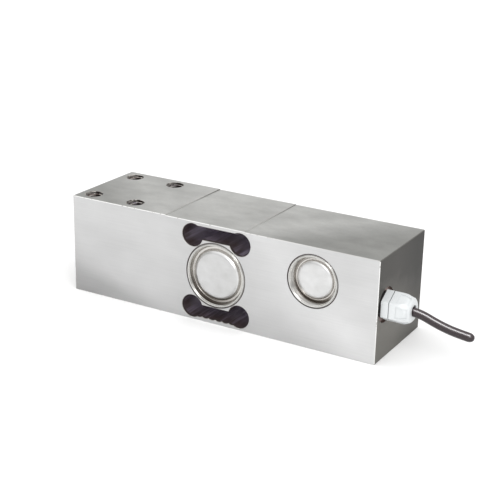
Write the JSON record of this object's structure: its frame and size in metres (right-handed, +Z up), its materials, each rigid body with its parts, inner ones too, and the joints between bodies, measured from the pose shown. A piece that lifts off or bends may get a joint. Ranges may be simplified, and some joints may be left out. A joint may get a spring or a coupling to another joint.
{
  "type": "single point load cell",
  "caption": "Stainless single point load cell: slotted block with welded cups, tapped mounting holes and a gland-entry cable.",
  "frame": {"origin": "middle of the block's bottom face", "axes": "+X along the block from the loading end to the cable end, -Y out of the face with two cups, +Z up"},
  "size_m": [0.2502, 0.061, 0.06],
  "materials": {
    "ground_stainless": "ground stainless steel",
    "formed_stainless": "bright drawn stainless sheet",
    "gland_polyamide": "moulded polyamide",
    "washer_rubber": "moulded nitrile rubber",
    "seal_rubber": "moulded nitrile rubber",
    "cable_sheath": "extruded sheath",
    "core_black": "extruded insulation",
    "core_red": "extruded insulation",
    "core_green": "extruded insulation",
    "core_white": "extruded insulation",
    "tinned_copper": "tinned copper",
    "lead_sleeve": "extruded sleeve",
    "gauge_film": "polyimide film with etched foil",
    "board_laminate": "glass epoxy laminate",
    "resistor_enamel": "dipped enamel",
    "screw_steel": "bright stainless steel"
  },
  "bodies": {
    "root": {"spring_body": "ground_stainless", "front_gauge_cup": "formed_stainless", "rear_gauge_cup": "formed_stainless", "terminal_cup": "formed_stainless", "front_shear_gauge": "gauge_film", "rear_shear_gauge": "gauge_film", "front_gauge_terminals": "board_laminate", "rear_gauge_terminals": "board_laminate", "front_gauge_leads": "lead_sleeve", "rear_gauge_leads": "lead_sleeve", "terminal_board": "board_laminate", "board_spacers": "screw_steel", "board_screws": "screw_steel", "board_pins": "tinned_copper", "span_resistor": "resistor_enamel", "zero_resistor": "resistor_enamel", "temperature_resistor": "resistor_enamel", "black_core": "core_black", "red_core": "core_red", "green_core": "core_green", "white_core": "core_white", "drain_wire": "tinned_copper", "gland_washer": "washer_rubber", "gland_body": "gland_polyamide", "gland_seal": "seal_rubber", "gland_nut": "gland_polyamide", "cable_jacket": "cable_sheath"}
  },
  "joints": []
}
